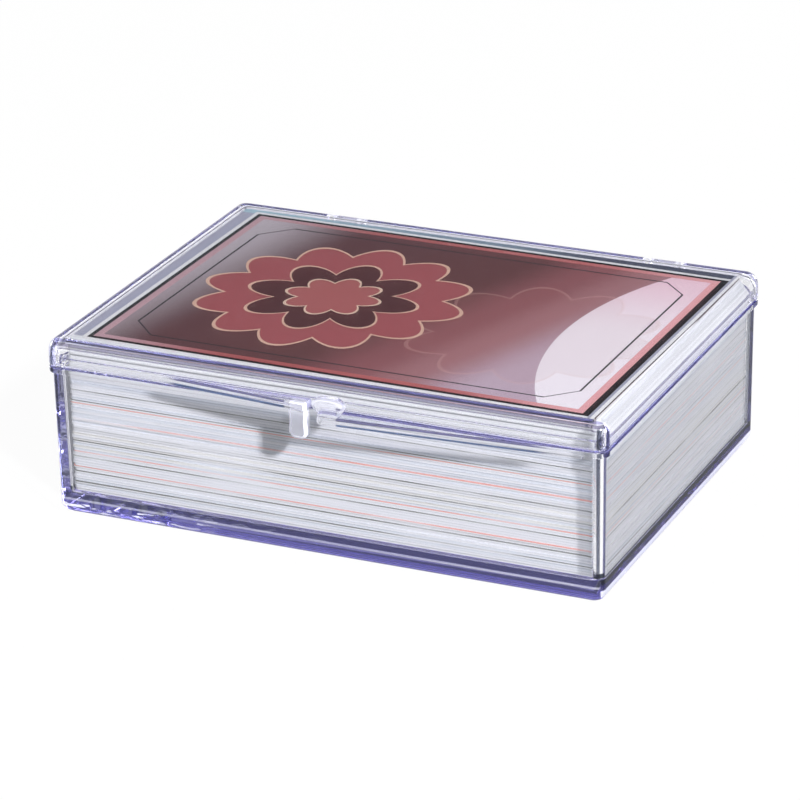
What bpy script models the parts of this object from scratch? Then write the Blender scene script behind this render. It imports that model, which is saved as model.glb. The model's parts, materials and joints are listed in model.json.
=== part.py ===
"""Hinged clear box for trading cards, closed over a full deck.

The tray and the lid are single mouldings of clear polystyrene. The lid turns on pin stubs that snap into
four ears behind the tray. At the front each shell carries one half of a thumb lip, and beside the middle
the lid's hanging finger and the tray's upright finger make the catch.
Units are metres, +Z is up, -Y is the front and the origin is the middle of the underside.
"""

import math
import random

import bmesh
import bpy

MM = 0.001

# Cards
CARD_LENGTH = 88.9 * MM
CARD_WIDTH = 63.5 * MM
CARD_CORNER = 0.5 * MM
CARD_COUNT = 57
CARD_THICKNESS = 0.402 * MM
CARD_THICKNESS_SPREAD = 0.04 * MM
CARD_GAP = 0.033 * MM
CARD_SHIFT = 0.12 * MM
CARD_TURN = math.radians(0.08)
PINK_SHARE = 0.12
DECK_SEED = 11
DECK_LIFT = 0.1 * MM
DECK_HEADROOM = 0.3 * MM
DECK_WALL_GAP = 0.15 * MM

# Room around the deck, at the rim of the tray
END_CLEARANCE = 0.6 * MM
SIDE_CLEARANCE = 1.05 * MM

# Shells
TRAY_WALL = 1.45 * MM
TRAY_FLOOR = 3.4 * MM
LID_WALL = 1.25 * MM
DRAFT = math.radians(0.6)
INNER_RADIUS = 0.5 * MM
EDGE_STEPS = 4
SKIRT_HEIGHT = 4.35 * MM
PARTING_GAP = 0.25 * MM
LID_OVERSAIL = 0.5 * MM
TONGUE_HEIGHT = 1.35 * MM
TONGUE_CLEARANCE = 0.2 * MM
BEAD_HEIGHT = 1.05 * MM
# How deep a joined feature is sunk into the wall that carries it, and how far its faces stay off the wall's
ROOT = 0.8 * MM
FACE_STEP = 0.03 * MM

# Thumb lip
LIP_REACH = 2.5 * MM
LIP_THICKNESS = 0.95 * MM
LIP_END = 0.9 * MM
LID_LIP_SPAN = 28.4 * MM
TRAY_LIP_SPAN = 43.3 * MM
LIP_EDGE = 0.25 * MM

# Catch fingers
FINGER_DEPTH = 1.8 * MM
FINGER_CLEARANCE = 0.4 * MM
FINGER_EDGE = 0.25 * MM
LID_FINGER_X = -2.15 * MM
LID_FINGER_WIDTH = 3.3 * MM
LID_FINGER_WAIST = 2.8 * MM
LID_FINGER_DROP = 5.2 * MM
LID_FINGER_WAIST_DROP = 2.3 * MM
LID_FINGER_CORNER = 1.1 * MM
LID_FINGER_PROUD = 0.1 * MM
LID_FINGER_FILLET = 1.15 * MM
TRAY_FINGER_X = 3.4 * MM
TRAY_FINGER_HEAD = 5.0 * MM
TRAY_FINGER_TOP = 3.3 * MM
TRAY_FINGER_NECK = 3.2 * MM
TRAY_FINGER_RISE = 3.75 * MM
TRAY_FINGER_NECK_RISE = 0.75 * MM
TRAY_FINGER_CORNER = 0.6 * MM
TRAY_FINGER_ROOT = 0.7 * MM

# Hinges
HINGE_SPACING = 57.0 * MM
HINGE_SHIFT = 2.0 * MM
KNUCKLE_WIDTH = 4.0 * MM
KNUCKLE_RADIUS = 1.5 * MM
KNUCKLE_CLEARANCE = 0.3 * MM
STRAP_LIFT = 0.4 * MM
STRAP_RISE = 2.9 * MM
EAR_THICKNESS = 1.0 * MM
EAR_WALL = 1.25 * MM
EAR_DROP = 6.0 * MM
HINGE_SIDE_GAP = 0.3 * MM
PIN_RADIUS = 0.75 * MM
PIN_REACH = 0.8 * MM
PIN_CLEARANCE = 0.3 * MM
SLOT_CLEARANCE = 0.3 * MM
SLOT_HEADROOM = 0.5 * MM
ROUND_STEPS = 24
BLEND_STEPS = 4

# Sizes that follow
DECK_HEIGHT = CARD_COUNT * (CARD_THICKNESS + CARD_GAP)
HEIGHT = TRAY_FLOOR + DECK_LIFT + DECK_HEIGHT + DECK_HEADROOM + LID_WALL
LID_BOTTOM = HEIGHT - SKIRT_HEIGHT
TRAY_RIM = LID_BOTTOM - PARTING_GAP
INNER_LENGTH = CARD_LENGTH + 2 * END_CLEARANCE
INNER_WIDTH = CARD_WIDTH + 2 * SIDE_CLEARANCE
TRAY_LENGTH = INNER_LENGTH + 2 * TRAY_WALL
TRAY_WIDTH = INNER_WIDTH + 2 * TRAY_WALL
LID_LENGTH = TRAY_LENGTH + 2 * LID_OVERSAIL
LID_WIDTH = TRAY_WIDTH + 2 * LID_OVERSAIL
EDGE_RADIUS = TRAY_WALL + INNER_RADIUS
LID_FACE = LID_WIDTH / 2
TRAY_FACE = TRAY_WIDTH / 2
AXIS_Y = LID_FACE + KNUCKLE_RADIUS + KNUCKLE_CLEARANCE
AXIS_Z = (LID_BOTTOM + TRAY_RIM) / 2
EAR_RADIUS = PIN_RADIUS + PIN_CLEARANCE + EAR_WALL
EAR_OFFSET = KNUCKLE_WIDTH / 2 + HINGE_SIDE_GAP + EAR_THICKNESS / 2
HINGE_XS = (HINGE_SHIFT - HINGE_SPACING / 2, HINGE_SHIFT + HINGE_SPACING / 2)


def clear_scene():
    for item in list(bpy.data.objects):
        bpy.data.objects.remove(item, do_unlink=True)


def make_collection(name):
    collection = bpy.data.collections.new(name)
    bpy.context.scene.collection.children.link(collection)
    return collection


def make_material(name, colour, roughness, transmission=0.0):
    material = bpy.data.materials.new(name)
    material.use_nodes = True
    shader = material.node_tree.nodes["Principled BSDF"]
    shader.inputs["Base Color"].default_value = (*colour, 1.0)
    shader.inputs["Roughness"].default_value = roughness
    shader.inputs["Metallic"].default_value = 0.0
    shader.inputs["Transmission Weight"].default_value = transmission
    shader.inputs["IOR"].default_value = 1.59 if transmission else 1.45
    return material


def add_object(name, data, collection):
    item = bpy.data.objects.new(name, data)
    collection.objects.link(item)
    if collection is TOOLS:
        item.hide_render = True
        item.display_type = "WIRE"
    return item


def add_bmesh(name, mesh_builder, collection):
    mesh = bpy.data.meshes.new(name)
    mesh_builder.to_mesh(mesh)
    mesh_builder.free()
    return add_object(name, mesh, collection)


def tapered_cube(length, width, low, high, shrink_low, shrink_high):
    """A box whose lower and upper ends are drawn in by the given amounts on every side."""
    builder = bmesh.new()
    bmesh.ops.create_cube(builder, size=2.0)
    for vert in builder.verts:
        upper = vert.co.z > 0
        shrink = shrink_high if upper else shrink_low
        vert.co.x *= length / 2 - shrink
        vert.co.y *= width / 2 - shrink
        vert.co.z = high if upper else low
    return builder


def delete_ends(builder, upper, lower):
    doomed = [face for face in builder.faces
              if (upper and face.normal.z > 0.9) or (lower and face.normal.z < -0.9)]
    bmesh.ops.delete(builder, geom=doomed, context="FACES")


def add_bevel(item, width, steps):
    bevel = item.modifiers.new("rounded edges", "BEVEL")
    bevel.width = width
    bevel.segments = steps
    bevel.limit_method = "ANGLE"
    bevel.angle_limit = math.radians(40)


def add_solidify(item, thickness, side):
    solid = item.modifiers.new("wall", "SOLIDIFY")
    solid.thickness = thickness
    solid.offset = side
    solid.use_even_offset = True


def add_boolean(item, tool, operation):
    boolean = item.modifiers.new(tool.name, "BOOLEAN")
    boolean.operation = operation
    boolean.object = tool
    boolean.solver = "EXACT"


def ring(name, length, width, radius, low, high, thickness, side):
    """A closed band around the box: its given face is the outer one for side -1, the inner one for +1."""
    builder = tapered_cube(length, width, low, high, 0.0, 0.0)
    delete_ends(builder, upper=True, lower=True)
    band = add_bmesh(name, builder, TOOLS)
    add_bevel(band, radius, EDGE_STEPS)
    add_solidify(band, thickness, side)
    return band


def block(name, lows, highs):
    builder = bmesh.new()
    bmesh.ops.create_cube(builder, size=1.0)
    for vert in builder.verts:
        for axis in range(3):
            vert.co[axis] = highs[axis] if vert.co[axis] > 0 else lows[axis]
    return add_bmesh(name, builder, TOOLS)


def round_bar(name, radius, x_low, x_high, y, z):
    """A cylinder along X."""
    builder = bmesh.new()
    bmesh.ops.create_cone(builder, cap_ends=True, segments=ROUND_STEPS, radius1=radius, radius2=radius,
                          depth=x_high - x_low)
    bar = add_bmesh(name, builder, TOOLS)
    bar.data.shade_smooth()
    bar.rotation_euler = (0.0, math.pi / 2, 0.0)
    bar.location = ((x_low + x_high) / 2, y, z)
    return bar


def arc(centre, radius, start, end, steps):
    angles = [start + (end - start) * step / steps for step in range(steps + 1)]
    return [(centre[0] + radius * math.cos(angle), centre[1] + radius * math.sin(angle)) for angle in angles]


def round_corners(points, radius, steps=BLEND_STEPS):
    """The closed outline with each corner blended over the radius, or over what its sides leave room for."""
    most = 0.45
    rounded = []
    for index, corner in enumerate(points):
        before, after = points[index - 1], points[(index + 1) % len(points)]
        to_before = (before[0] - corner[0], before[1] - corner[1])
        to_after = (after[0] - corner[0], after[1] - corner[1])
        length_before, length_after = math.hypot(*to_before), math.hypot(*to_after)
        unit_before = (to_before[0] / length_before, to_before[1] / length_before)
        unit_after = (to_after[0] / length_after, to_after[1] / length_after)
        cosine = unit_before[0] * unit_after[0] + unit_before[1] * unit_after[1]
        half = math.acos(max(-1.0, min(1.0, cosine))) / 2
        reach = min(radius / math.tan(half), most * length_before, most * length_after)
        for step in range(steps + 1):
            share = step / steps
            left, right = reach * (1 - share) ** 2, reach * share ** 2
            rounded.append((corner[0] + unit_before[0] * left + unit_after[0] * right,
                            corner[1] + unit_before[1] * left + unit_after[1] * right))
    return rounded


def plate(name, points, thickness, turn, place, edge=0.0):
    """A flat outline of the given thickness, centred on its plane, turned and placed, made a mesh."""
    curve = bpy.data.curves.new(name, "CURVE")
    curve.dimensions = "2D"
    curve.fill_mode = "BOTH"
    curve.extrude = thickness / 2
    spline = curve.splines.new("POLY")
    spline.points.add(len(points) - 1)
    for point, (across, along) in zip(spline.points, points):
        point.co = (across, along, 0.0, 1.0)
    spline.use_cyclic_u = True
    source = add_object(name, curve, TOOLS)
    source.rotation_euler = turn
    source.location = place
    bpy.context.view_layer.update()
    evaluated = source.evaluated_get(bpy.context.evaluated_depsgraph_get())
    mesh = bpy.data.meshes.new_from_object(evaluated)
    matrix = source.matrix_world.copy()
    bpy.data.objects.remove(source)
    builder = bmesh.new()
    builder.from_mesh(mesh)
    bmesh.ops.remove_doubles(builder, verts=builder.verts, dist=1e-6)
    bmesh.ops.recalc_face_normals(builder, faces=builder.faces)
    builder.to_mesh(mesh)
    builder.free()
    piece = add_object(name, mesh, TOOLS)
    piece.matrix_world = matrix
    if edge:
        add_bevel(piece, edge, 2)
    return piece


# A plan outline needs no turn, a front view is tipped up about X, and a side view looks along X.
IN_PLAN = (0.0, 0.0, 0.0)
FRONT_VIEW = (math.pi / 2, 0.0, 0.0)
SIDE_VIEW = (math.pi / 2, 0.0, math.pi / 2)


def lip(name, inner_end, outer_end, low, high):
    """Half of the thumb lip: widest beside the catch and running out to nothing along the front."""
    root = -(LID_FACE - ROOT)
    widest = -(LID_FACE + LIP_REACH)
    outline = [(inner_end, root), (inner_end, widest), (outer_end, -LID_FACE), (outer_end, root)]
    return plate(name, outline, high - low, IN_PLAN, (0.0, 0.0, (low + high) / 2), LIP_EDGE)


def finger(name, outline):
    """A catch finger from its front view, standing clear of the faces behind it."""
    middle = -(LID_FACE + FINGER_CLEARANCE + FINGER_DEPTH / 2)
    return plate(name, outline, FINGER_DEPTH, FRONT_VIEW, (0.0, middle, 0.0), FINGER_EDGE)


def lid_finger():
    """The hanging finger: a waisted tongue with round lower corners and a fillet under the lip."""
    top = LID_BOTTOM + LIP_THICKNESS + LID_FINGER_PROUD
    bottom = top - LID_FINGER_DROP
    waist = top - LID_FINGER_WAIST_DROP
    half, narrow = LID_FINGER_WIDTH / 2, LID_FINGER_WAIST / 2
    lower = round_corners([(narrow, waist), (half, bottom + LID_FINGER_CORNER), (half, bottom),
                           (-half, bottom), (-half, bottom + LID_FINGER_CORNER), (-narrow, waist)],
                          LID_FINGER_CORNER)[BLEND_STEPS // 2:-(BLEND_STEPS // 2)]
    corner = (-narrow - LID_FINGER_FILLET, LID_BOTTOM + FACE_STEP - LID_FINGER_FILLET)
    fillet = arc(corner, LID_FINGER_FILLET, 0.0, math.pi / 2, BLEND_STEPS)
    shoulder = (fillet[-1][0], LID_BOTTOM + LIP_THICKNESS / 2)
    outline = [(half, top)] + lower + fillet + [shoulder, (-half, top)]
    return finger("lid_finger", [(LID_FINGER_X + across, up) for across, up in outline])


def tray_finger():
    """The upright finger: a neck on the tray's lip under a wider head with a drawn-in crown."""
    low = TRAY_RIM - TRAY_FINGER_ROOT
    neck_top = TRAY_RIM + TRAY_FINGER_NECK_RISE
    top = TRAY_RIM + TRAY_FINGER_RISE
    head, neck, crown = TRAY_FINGER_HEAD / 2, TRAY_FINGER_NECK / 2, TRAY_FINGER_TOP / 2
    head_low = neck_top + head - neck
    head_high = top - (head - crown)
    right = [(neck, low), (neck, neck_top), (head, head_low), (head, head_high), (crown, top)]
    outline = right + [(-across, up) for across, up in reversed(right)]
    outline = [(TRAY_FINGER_X + across, up) for across, up in outline]
    return finger("tray_finger", round_corners(outline, TRAY_FINGER_CORNER))


def tray_ear(name, x):
    """An upright ear on a gusset: a round head about the hinge axis, drawn down to the rear wall."""
    root = TRAY_FACE - ROOT
    foot = (root, AXIS_Z - EAR_DROP)
    reach = math.hypot(AXIS_Y - foot[0], AXIS_Z - foot[1])
    towards_axis = math.atan2(AXIS_Z - foot[1], AXIS_Y - foot[0])
    tangent = towards_axis - math.asin(EAR_RADIUS / reach) - math.pi / 2
    head = arc((AXIS_Y, AXIS_Z), EAR_RADIUS, tangent, math.pi, ROUND_STEPS // 2)
    shoulder = (root, TRAY_RIM - PARTING_GAP)
    return plate(name, [foot] + head + [shoulder], EAR_THICKNESS, SIDE_VIEW, (x, 0.0, 0.0))


def lid_strap(name, x):
    """The tapered strap that carries the knuckle behind the lid's rear wall."""
    root = LID_FACE - ROOT
    outline = [(root, AXIS_Z + STRAP_LIFT), (AXIS_Y, AXIS_Z + STRAP_LIFT),
               (AXIS_Y, AXIS_Z + KNUCKLE_RADIUS), (root, AXIS_Z + STRAP_RISE)]
    return plate(name, outline, KNUCKLE_WIDTH, SIDE_VIEW, (x, 0.0, 0.0))


def build_tray(material):
    top = TRAY_RIM + TONGUE_HEIGHT
    builder = tapered_cube(TRAY_LENGTH, TRAY_WIDTH, 0.0, top, top * math.tan(DRAFT), 0.0)
    delete_ends(builder, upper=True, lower=False)
    tray = add_bmesh("base_tray", builder, PARTS)
    tray.data.materials.append(material)
    add_bevel(tray, EDGE_RADIUS, EDGE_STEPS)
    add_solidify(tray, TRAY_WALL, -1.0)
    inside_lid = 2 * (LID_WALL + TONGUE_CLEARANCE)
    rebate = ring("tongue_rebate", LID_LENGTH - inside_lid, LID_WIDTH - inside_lid, EDGE_RADIUS - LID_WALL,
                  TRAY_RIM, top + TRAY_WALL, 2 * TRAY_WALL, 1.0)
    bead = ring("rim_bead", LID_LENGTH, LID_WIDTH, EDGE_RADIUS, TRAY_RIM - BEAD_HEIGHT, TRAY_RIM,
                LID_OVERSAIL + ROOT, -1.0)
    lip_top = TRAY_RIM - FACE_STEP
    # The floor is thicker than the walls: a slab sunk in the shell at its sides and below makes up the rest.
    slab_low = TRAY_WALL / 2
    slab = add_bmesh("floor_slab", tapered_cube(INNER_LENGTH + TRAY_WALL / 2, INNER_WIDTH + TRAY_WALL / 2,
                                                slab_low, TRAY_FLOOR, (top - slab_low) * math.tan(DRAFT),
                                                (top - TRAY_FLOOR) * math.tan(DRAFT)), TOOLS)
    add_boolean(tray, slab, "UNION")
    add_boolean(tray, rebate, "DIFFERENCE")
    add_boolean(tray, bead, "UNION")
    add_boolean(tray, lip("tray_lip", LIP_END, TRAY_LIP_SPAN, lip_top - LIP_THICKNESS, lip_top), "UNION")
    add_boolean(tray, tray_finger(), "UNION")
    for hinge_x in HINGE_XS:
        for side in (-1, 1):
            x = hinge_x + side * EAR_OFFSET
            label = f"{x / MM:.0f}"
            add_boolean(tray, tray_ear("ear_" + label, x), "UNION")
            add_boolean(tray, round_bar("pin_hole_" + label, PIN_RADIUS + PIN_CLEARANCE, x - EAR_THICKNESS,
                                        x + EAR_THICKNESS, AXIS_Y, AXIS_Z), "DIFFERENCE")
    return tray


def build_lid(material):
    builder = tapered_cube(LID_LENGTH, LID_WIDTH, LID_BOTTOM, HEIGHT, 0.0, SKIRT_HEIGHT * math.tan(DRAFT))
    delete_ends(builder, upper=False, lower=True)
    lid = add_bmesh("lid", builder, PARTS)
    lid.data.materials.append(material)
    add_bevel(lid, EDGE_RADIUS, EDGE_STEPS)
    add_solidify(lid, LID_WALL, -1.0)
    slot_half = EAR_THICKNESS / 2 + SLOT_CLEARANCE
    for hinge_x in HINGE_XS:
        for side in (-1, 1):
            x = hinge_x + side * EAR_OFFSET
            slot_low = (x - slot_half, LID_FACE - 2 * LID_WALL, LID_BOTTOM - LID_WALL)
            slot_high = (x + slot_half, LID_FACE + LID_WALL, AXIS_Z + EAR_RADIUS + SLOT_HEADROOM)
            add_boolean(lid, block(f"slot_{x / MM:.0f}", slot_low, slot_high), "DIFFERENCE")
        label = f"{hinge_x / MM:.0f}"
        half = KNUCKLE_WIDTH / 2
        stub = half + HINGE_SIDE_GAP + PIN_REACH
        add_boolean(lid, lid_strap("strap_" + label, hinge_x), "UNION")
        add_boolean(lid, round_bar("knuckle_" + label, KNUCKLE_RADIUS, hinge_x - half, hinge_x + half,
                                   AXIS_Y, AXIS_Z), "UNION")
        add_boolean(lid, round_bar("pin_" + label, PIN_RADIUS, hinge_x - stub, hinge_x + stub,
                                   AXIS_Y, AXIS_Z), "UNION")
    add_boolean(lid, lip("lid_lip", -LIP_END, -LID_LIP_SPAN, LID_BOTTOM + FACE_STEP,
                         LID_BOTTOM + LIP_THICKNESS), "UNION")
    add_boolean(lid, lid_finger(), "UNION")
    hinge = bpy.data.objects.new("lid_hinge", None)
    hinge.location = (0.0, AXIS_Y, AXIS_Z)
    PARTS.objects.link(hinge)
    lid.parent = hinge
    lid.location = (0.0, -AXIS_Y, -AXIS_Z)
    return lid


def build_card(name, thickness, x, y, low, turn, material):
    builder = tapered_cube(CARD_LENGTH, CARD_WIDTH, -thickness / 2, thickness / 2, 0.0, 0.0)
    upright = [edge for edge in builder.edges if edge.verts[0].co.z * edge.verts[1].co.z < 0]
    bmesh.ops.bevel(builder, geom=upright, offset=CARD_CORNER, segments=2, profile=0.5, affect="EDGES")
    card = add_bmesh(name, builder, PARTS)
    card.data.materials.append(material)
    card.location = (x, y, low + thickness / 2)
    card.rotation_euler = (0.0, 0.0, turn)


def build_deck(white, pink, printed):
    """The deck lies in the middle of the tray's length and against the rear wall."""
    chance = random.Random(DECK_SEED)
    play = CARD_SHIFT + CARD_LENGTH / 2 * math.sin(CARD_TURN)
    taper = TRAY_RIM * math.tan(DRAFT)
    deck_y = SIDE_CLEARANCE - taper - play - DECK_WALL_GAP
    low = TRAY_FLOOR + DECK_LIFT
    spread = 0.0
    for number in range(1, CARD_COUNT):
        # Each even card is as much thinner as the card under it is thicker, so the deck's height stays.
        spread = -spread if number % 2 == 0 else chance.uniform(-1.0, 1.0) * CARD_THICKNESS_SPREAD
        thickness = CARD_THICKNESS + spread
        x = chance.uniform(-1.0, 1.0) * CARD_SHIFT
        y = deck_y + chance.uniform(-1.0, 1.0) * CARD_SHIFT
        turn = chance.uniform(-1.0, 1.0) * CARD_TURN
        material = pink if chance.random() < PINK_SHARE else white
        build_card(f"card_{number:02d}", thickness, x, y, low, turn, material)
        low += thickness + CARD_GAP
    build_card("top_card", CARD_THICKNESS, 0.0, deck_y, low, 0.0, printed)


clear_scene()
PARTS = make_collection("card_deck_box")
TOOLS = make_collection("cutters and joined features")
CLEAR = make_material("clear polystyrene", (0.93, 0.93, 0.98), 0.04, 1.0)
build_tray(CLEAR)
build_lid(CLEAR)
build_deck(make_material("white board", (0.86, 0.87, 0.88), 0.6),
           make_material("pink edged board", (0.85, 0.62, 0.58), 0.6),
           make_material("printed board", (0.32, 0.17, 0.19), 0.3))
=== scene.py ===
"""Looks of the clear hinged card box: two moulded polystyrene shells over a deck of printed cards."""
import json
import math
import random

import bmesh
import bpy
from mathutils import Matrix, Vector


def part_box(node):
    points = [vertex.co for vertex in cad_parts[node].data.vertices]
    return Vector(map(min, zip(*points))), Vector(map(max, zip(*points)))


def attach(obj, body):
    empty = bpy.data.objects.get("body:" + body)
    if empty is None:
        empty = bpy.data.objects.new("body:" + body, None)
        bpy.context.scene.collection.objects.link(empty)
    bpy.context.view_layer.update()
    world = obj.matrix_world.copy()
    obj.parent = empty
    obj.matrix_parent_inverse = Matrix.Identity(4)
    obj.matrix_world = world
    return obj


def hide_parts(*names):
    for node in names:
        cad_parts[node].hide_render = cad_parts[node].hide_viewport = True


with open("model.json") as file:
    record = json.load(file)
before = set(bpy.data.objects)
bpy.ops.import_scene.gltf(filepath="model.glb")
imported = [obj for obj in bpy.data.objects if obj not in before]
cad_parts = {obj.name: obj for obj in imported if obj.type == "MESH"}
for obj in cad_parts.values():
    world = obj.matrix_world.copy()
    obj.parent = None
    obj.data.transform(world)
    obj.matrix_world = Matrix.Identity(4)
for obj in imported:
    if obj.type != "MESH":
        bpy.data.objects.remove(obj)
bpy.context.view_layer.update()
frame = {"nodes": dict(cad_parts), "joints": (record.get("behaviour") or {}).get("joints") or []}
NODES = frame["nodes"]
MM = 0.001

# Camera, fitted to the photograph's 800 x 800 frame
CAMERA_PLACE = (239.8 * MM, -531.8 * MM, 257.2 * MM)
CAMERA_AZIMUTH = math.radians(24.44)
CAMERA_ELEVATION = math.radians(22.69)
CAMERA_ROLL = math.radians(-1.11)
CAMERA_LENS = 177.3
SENSOR_WIDTH = 36.0
CLIP_START = 10 * MM

# Sizes of the shells, from the frame where it has them
LID_LOW, LID_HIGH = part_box("lid")
TRAY_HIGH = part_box("base_tray")[1]
AXIS = frame["joints"][0]["pos_m"]
AXIS_Y, AXIS_Z = AXIS[1], AXIS[2]
HALF_LENGTH = LID_HIGH.x
HALF_WIDTH = 34.75 * MM
HEIGHT = LID_HIGH.z
TRAY_WALL = 1.45 * MM
TRAY_FLOOR = 3.4 * MM
LID_WALL = 1.25 * MM
OVERSAIL = 0.5 * MM
SKIRT_HEIGHT = 4.35 * MM
PARTING_GAP = 0.25 * MM
TONGUE_HEIGHT = 1.35 * MM
TONGUE_INSET = LID_WALL + 0.2 * MM
BEAD_HEIGHT = 1.05 * MM
DRAFT = math.tan(math.radians(0.6))
LID_BOTTOM = HEIGHT - SKIRT_HEIGHT
TRAY_RIM = LID_BOTTOM - PARTING_GAP
TONGUE_TOP = TRAY_RIM + TONGUE_HEIGHT
PLATE_REACH = 8.0 * MM

# Rounding of the shells. A blend takes at most LONGEST_BLEND of either side of its corner.
INNER_RADIUS = 0.5 * MM
CORNER_RADIUS = 1.2 * MM
CORNER_EASE = 0.2 * MM
LID_FILLET = 1.2 * MM
EDGE_RADIUS = TRAY_WALL + INNER_RADIUS
BEAD_EDGE = 0.25 * MM
TONGUE_ROOT = 0.12 * MM
SMALL_EDGE = 0.15 * MM
CUT_EDGE = 0.01 * MM
CORNER_STEPS = 10
FILLET_STEPS = 6
BAR_STEPS = 32
EAR_STEPS = 20
SHARP_ANGLE = math.radians(35)
FLAT_WEIGHT = 100
MERGE_DISTANCE = 1e-7
LONGEST_BLEND = 0.49

# Thumb lips on the front. A piece sinks into its wall, and faces that would coincide are stepped apart.
SINK = 0.8 * MM
FACE_STEP = 0.03 * MM
LIP_FRONT = HALF_WIDTH + 2.5 * MM
LIP_THICKNESS = 1.4 * MM
LIP_END = 0.9 * MM
LID_LIP_SPAN = 28.4 * MM
TRAY_LIP_SPAN = 43.3 * MM
LIP_EDGE = 0.3 * MM
LIP_CORNER = 0.5 * MM
LIP_TIP = 0.3 * MM

# Catch fingers: the lid's hangs, the tray's stands
FINGER_DEPTH = 1.8 * MM
FINGER_CLEARANCE = 0.4 * MM
FINGER_EDGE = 0.6 * MM
FINGER_LOW = LID_LOW.z
LID_FINGER_X = -2.35 * MM
LID_FINGER_HALF = 1.65 * MM
LID_WAIST_HALF = 1.45 * MM
LID_FINGER_RISE = 0.55 * MM
LID_FINGER_DROP = 0.6 * MM
LID_WAIST_DOWN = 2.4 * MM
LID_FINGER_TOP_ROUND = 0.8 * MM
LID_FINGER_ROUND = 1.2 * MM
TRAY_FINGER_X = 2.7 * MM
HEAD_HALF = 3.05 * MM
NECK_HALF = 1.8 * MM
CROWN_HALF = 1.65 * MM
NECK_SINK = 0.7 * MM
NECK_RISE = 0.2 * MM
HEAD_DROP = 0.85 * MM
HEAD_TOP = TRAY_HIGH.z - HEAD_DROP
NECK_ROUND = 0.6 * MM
HEAD_ROUND = 0.85 * MM
CROWN_ROUND = 2.0 * MM

# Hinges
HINGE_XS = (-26.5 * MM, 30.5 * MM)
KNUCKLE_RADIUS = LID_HIGH.y - AXIS_Y
KNUCKLE_WIDTH = 4.0 * MM
EAR_RADIUS = TRAY_HIGH.y - AXIS_Y
EAR_OFFSET = 2.8 * MM
EAR_THICKNESS = 1.0 * MM
EAR_FOOT_DOWN = 6.0 * MM
STRAP_LOW = AXIS_Z + 0.4 * MM
STRAP_HIGH = AXIS_Z + 2.9 * MM
SLOT_CLEARANCE = 0.3 * MM
SLOT_HEADROOM = 0.5 * MM
PIN_RADIUS = 0.75 * MM
PIN_REACH = 1.1 * MM
PIN_CLEARANCE = 0.3 * MM

# Lamp light that the clear plastic lets through, by place
PASSED = (0.97, 0.97, 0.98)
LIP_SHADE = (0.16, 0.17, 0.19)
LID_LIP_SHADE = (0.3, 0.31, 0.33)
TRAY_LIP_SHADE = (0.9, 0.9, 0.92)
POST_SHADE = (0.45, 0.46, 0.49)
END_SHADE = (0.7, 0.7, 0.715)
SHADE_EDGE = 0.3 * MM
FINGER_SPAN = (-4.4 * MM, 6.1 * MM)

# Body of the plastic
PLASTIC_IOR = 1.59
ABSORB_COLOUR = (0.12, 0.12, 0.61, 1.0)
ABSORB_DENSITY = 10.5
# Colours of the white shader that paints highlights on the plastic
HIGHLIGHT_THROUGH = (0.8, 0.8, 0.9, 1.0)
HIGHLIGHT_FRONT = (0.85, 0.85, 0.95, 1.0)

# Which way a face looks: the part of its normal where it starts to count, and how softly
FLAT_FACE = (0.6, 0.3)
END_FACE = (0.7, 0.2)
FRONT_FACE = (0.8, 0.2)
REAR_FACE = (0.6, 0.3)
LIP_FACE = (0.4, 0.2)
FINGER_FACE = (0.96, 0.06)
FINGER_SIDE = (0.3, 0.2)

# Painted shade on the plastic's thick edges, as dark bands in its colour. A band is low, high and softness on
# the part of the normal it follows.
CLEAR_TINT = (1.0, 1.0, 1.0)
# Painted shade on level faces about the parting line
LEVEL_FACE_SHADE = (0.42, 0.40, 0.64)
LEVEL_FACE_SHADE_FROM = 3.0 * MM - HALF_WIDTH
LEVEL_FACE_SHADE_FADE = 1.0 * MM
# Painted shade: slate and violet bands up the corner posts, set by which way the face turns
POST_SLATE, POST_SLATE_BAND = (0.03, 0.035, 0.06), (0.27, 0.62, 0.1)
POST_VIOLET, POST_VIOLET_BAND = (0.03, 0.03, 0.1), (0.84, 0.99, 0.06)
# Painted shade: lilac and grey bands on the lid's front fillet
LID_LILAC, LID_LILAC_BAND = (0.22, 0.215, 0.46), (0.82, 0.97, 0.04)
LID_GREY, LID_GREY_BAND = (0.08, 0.07, 0.13), (0.54, 0.78, 0.06)
# Painted shade: slate at the right end wall's rear and inside the left end wall
REAR_SLATE = (0.15, 0.165, 0.2)
REAR_FROM = 30.5 * MM
LEFT_SLATE = (0.3, 0.31, 0.36)

# Painted shade: dark lines along the front of the lips, each between two heights
LIP_LOW_SHADE = (0.03, 0.06, 0.17)
LOW_LINES = ((TRAY_RIM - 1.4 * MM, TRAY_RIM - 0.95 * MM), (LID_BOTTOM + 0.1 * MM, LID_BOTTOM + 0.6 * MM))
LIP_HIGH_SHADE = (0.06, 0.055, 0.17)
HIGH_LINES = ((TRAY_RIM - 0.4 * MM, TRAY_RIM), (LID_BOTTOM + 1.05 * MM, LID_BOTTOM + 1.45 * MM))
LIP_LINE_FROM = 4.2 * MM
LINE_SOFT = 0.1 * MM

# Painted shade and highlight bands up the wall of the foot, by height as a share of FOOT_SPAN
FOOT_SPAN = 5.0 * MM
FOOT_VIOLET = (0.42, 0.37, 1.0)
FOOT_PALE = (1.0, 0.98, 0.85)
FOOT_SLATE = (0.16, 0.165, 0.2)
PALE_LINE = (0.52, 0.59)
FRONT_FOOT = [(0.0, FOOT_VIOLET), (0.50, FOOT_VIOLET), (PALE_LINE[0], FOOT_PALE), (PALE_LINE[1], FOOT_PALE),
              (0.61, FOOT_SLATE), (0.81, FOOT_SLATE), (0.83, CLEAR_TINT)]
END_LILAC = (0.8, 0.74, 1.0)
END_VIOLET = (0.16, 0.13, 0.27)
END_BLACK = (0.003, 0.005, 0.008)
END_FOOT = [(0.0, END_LILAC), (0.44, END_LILAC), (0.48, END_VIOLET), (0.62, END_VIOLET),
            (0.66, END_BLACK), (0.82, END_BLACK), (0.84, CLEAR_TINT)]
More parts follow.
